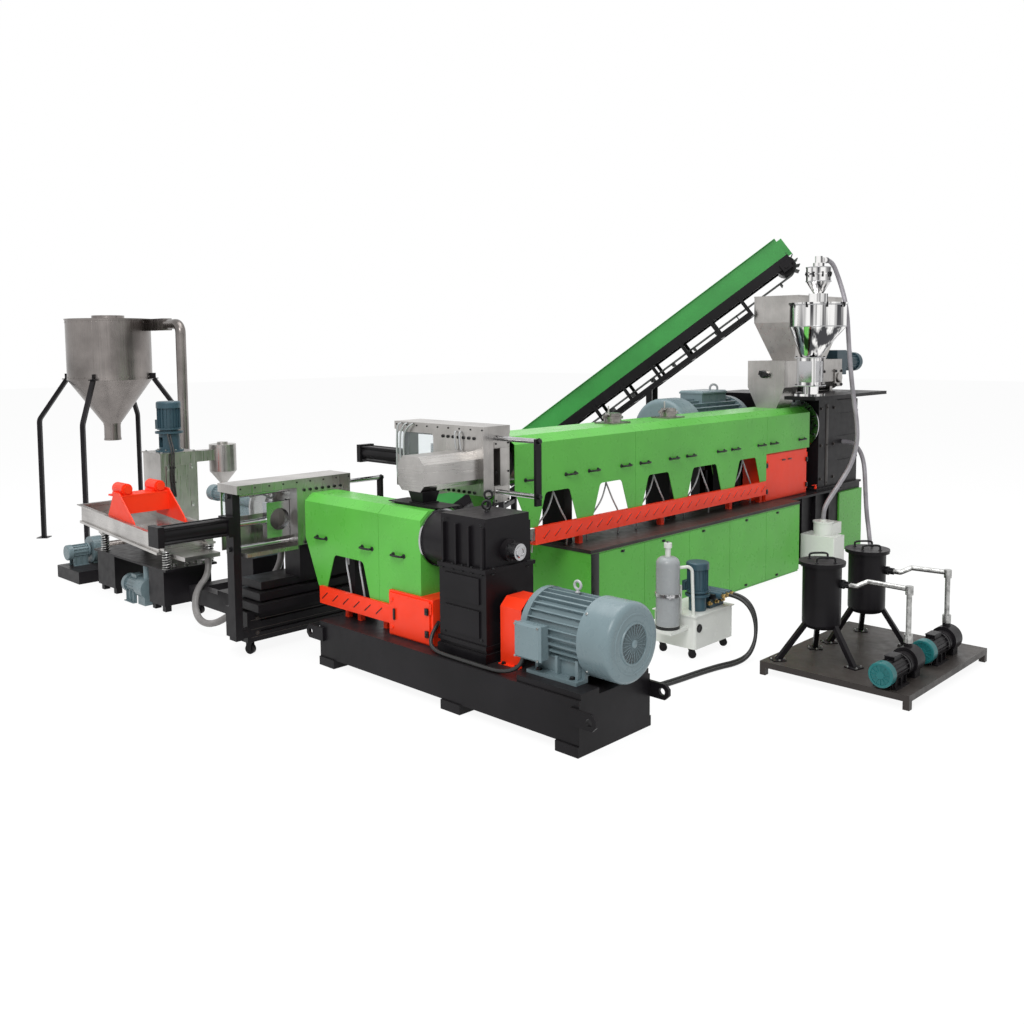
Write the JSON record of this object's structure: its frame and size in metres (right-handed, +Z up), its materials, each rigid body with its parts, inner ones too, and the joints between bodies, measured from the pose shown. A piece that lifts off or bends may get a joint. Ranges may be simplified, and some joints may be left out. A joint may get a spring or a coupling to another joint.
{
  "type": "plastic pelletizing machine",
  "caption": "Two-stage plastic pelletizing line: belt-fed extruder with screen changer, second extruder with die and cutter, vibrating sieve and pellet silo.",
  "frame": {"origin": "on the floor under the middle foot of the second extruder's base, in the vertical plane of its screw", "axes": "+X from the first extruder's head towards its gearbox, +Y along the second extruder from its motor towards its die, +Z up"},
  "size_m": [8.874, 10.9963, 3.7384],
  "materials": {
    "green_paint": "satin sheet paint",
    "dark_green_paint": "satin sheet paint",
    "red_paint": "satin orange-red paint",
    "black_paint": "satin machine paint",
    "deck_brown": "dark satin",
    "motor_grey": "blue-grey hammer paint",
    "motor_dark": "dark blue-grey paint",
    "stainless": "brushed",
    "polished": "mirror polished",
    "galvanised": "galvanised",
    "machined": "turned",
    "cast_barrel": "cast heater bands",
    "white_paint": "gloss white",
    "clear_pane": "clear",
    "orange_hose": "ribbed plastic",
    "grey_hose": "grey rubber",
    "black_hose": "black rubber",
    "belt_rubber": "matt belt",
    "wheel_grey": "caster"
  },
  "bodies": {
    "root": {"barrel_supports": "black_paint", "barrels": "cast_barrel", "base_two": "black_paint", "cabinet": "green_paint", "casters": "wheel_grey", "changer_bodies": "stainless", "changer_cylinders": "black_paint", "changer_frames": "stainless", "changer_glass": "clear_pane", "conveyor_belt": "belt_rubber", "conveyor_frame": "black_paint", "conveyor_sides": "dark_green_paint", "coupling_guard": "red_paint", "cover_one": "green_paint", "cover_two": "green_paint", "cutter_motor": "motor_grey", "deck": "deck_brown", "dewatering_casing": "stainless", "dewatering_motor": "motor_dark", "die_hood": "stainless", "dosing_hopper": "polished", "drive_stand": "black_paint", "electric_boxes": "red_paint", "feed_hopper": "stainless", "feeder_drive": "motor_dark", "feeder_trough": "stainless", "gearbox_one": "black_paint", "gearbox_two": "black_paint", "hose_hydraulic": "black_hose", "hose_loader": "orange_hose", "hose_sieve": "grey_hose", "hose_vacuum": "orange_hose", "hydraulic_motor": "motor_dark", "hydraulic_tank": "white_paint", "loader_blower": "white_paint", "melt_funnel": "black_paint", "motor_one": "motor_grey", "motor_two": "motor_grey", "sieve_base": "black_paint", "sieve_exciter": "red_paint", "sieve_pumps": "motor_grey", "sieve_tray": "stainless", "silo_legs": "black_paint", "silo_roof": "stainless", "silo_shell": "stainless", "skirts": "red_paint", "steel_rings": "machined", "tie_frames": "black_paint", "transfer_duct": "stainless", "trolley": "black_paint", "vacuum_pipes": "galvanised", "vacuum_pumps": "black_paint", "vacuum_table": "deck_brown", "vacuum_tanks": "black_paint", "vent_ports": "stainless"},
    "door_one": {"door_one": "red_paint"},
    "door_two": {"door_two": "red_paint"},
    "slide_one": {"slide_one": "machined"},
    "slide_two": {"slide_two": "machined"}
  },
  "joints": [
    {"name": "door_one_hinge", "type": "hinge", "parent": "root", "child": "door_one", "pos_m": [5.692, 0.58, 1.035], "axis": [0, 0, 1], "range_deg": [0, 60]},
    {"name": "door_two_hinge", "type": "hinge", "parent": "root", "child": "door_two", "pos_m": [-0.228, 0.345, 0.518], "axis": [0, 0, 1], "range_deg": [0, 105]},
    {"name": "slide_one_travel", "type": "slide", "parent": "root", "child": "slide_one", "axis": [0, -1, 0], "range_m": [0, 0.36]},
    {"name": "slide_two_travel", "type": "slide", "parent": "root", "child": "slide_two", "axis": [1, 0, 0], "range_m": [0, 0.36]}
  ]
}
